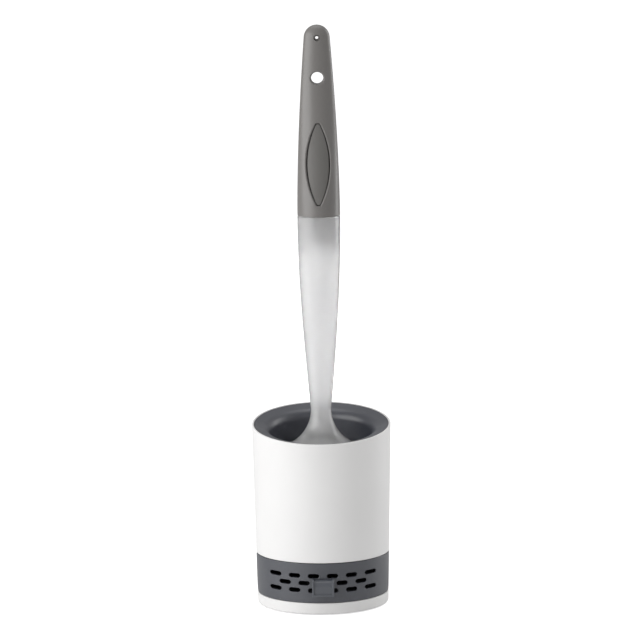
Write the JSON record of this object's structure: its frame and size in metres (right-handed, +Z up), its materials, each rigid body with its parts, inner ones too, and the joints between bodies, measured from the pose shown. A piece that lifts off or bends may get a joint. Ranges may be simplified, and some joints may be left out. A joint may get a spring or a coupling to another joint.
{
  "type": "toilet brush holder",
  "caption": "Round holder with a slanted mouth, lift-out liner and vented drip drawer, with a toilet brush whose translucent handle holds cleaner and has a screw grip and press pad.",
  "frame": {"origin": "centre of the foot pad's underside, on the floor", "axes": "+Z up along the axis of the holder and brush, -Y towards the drawer's front, +X to the right when facing the drawer"},
  "size_m": [0.102, 0.1071, 0.4259],
  "materials": {
    "shell_white": "satin",
    "base_white": "satin",
    "foot_rubber": "matte",
    "liner_grey": "satin",
    "tray_grey": "satin",
    "drawer_grey": "satin",
    "tab_grey": "satin",
    "reservoir_frosted": "frosted",
    "seal_rubber": "matte",
    "plug_frosted": "satin",
    "grip_grey": "fine texture",
    "pad_soft": "matte",
    "gasket_rubber": "matte",
    "valve_silicone": "matte",
    "core_grey": "satin",
    "bristle_fibre": "brushed fibre"
  },
  "bodies": {
    "holder": {"outer_shell": "shell_white", "base_plate": "base_white", "foot_pad": "foot_rubber"},
    "drawer": {"drip_tray": "tray_grey", "drawer_front": "drawer_grey", "pull_tab": "tab_grey"},
    "liner": {"inner_liner": "liner_grey"},
    "brush": {"reservoir": "reservoir_frosted", "head_gasket": "gasket_rubber", "outlet_valve": "valve_silicone", "head_core": "core_grey", "bristle_head": "bristle_fibre"},
    "seal": {"seal_washer": "seal_rubber"},
    "screw_grip": {"grip": "grip_grey", "screw_plug": "plug_frosted"},
    "pad": {"press_pad": "pad_soft"}
  },
  "joints": [
    {"name": "drawer_slide", "type": "slide", "parent": "holder", "child": "drawer", "axis": [0, -1, 0], "range_m": [0, 0.1]},
    {"name": "liner_lift", "type": "slide", "parent": "holder", "child": "liner", "axis": [0, 0, 1], "range_m": [0, 0.12]},
    {"name": "brush_lift", "type": "slide", "parent": "liner", "child": "brush", "axis": [0, 0, 1], "range_m": [0, 0.12]},
    {"name": "seal_lift", "type": "slide", "parent": "brush", "child": "seal", "axis": [0, 0, 1], "range_m": [0, 0.014]},
    {"name": "grip_turn", "type": "hinge", "parent": "seal", "child": "screw_grip", "pos_m": [0, 0, 0.28], "axis": [0, 0, 1], "range_deg": [0, 1980]},
    {"name": "pad_press", "type": "slide", "parent": "screw_grip", "child": "pad", "axis": [0, 1, 0], "range_m": [0, 0.0025], "stiffness_N_per_m": 900}
  ],
  "couplings": [
    {"joint": "seal_lift", "follows": "grip_turn", "m_per_rad": 0.00039789}
  ]
}
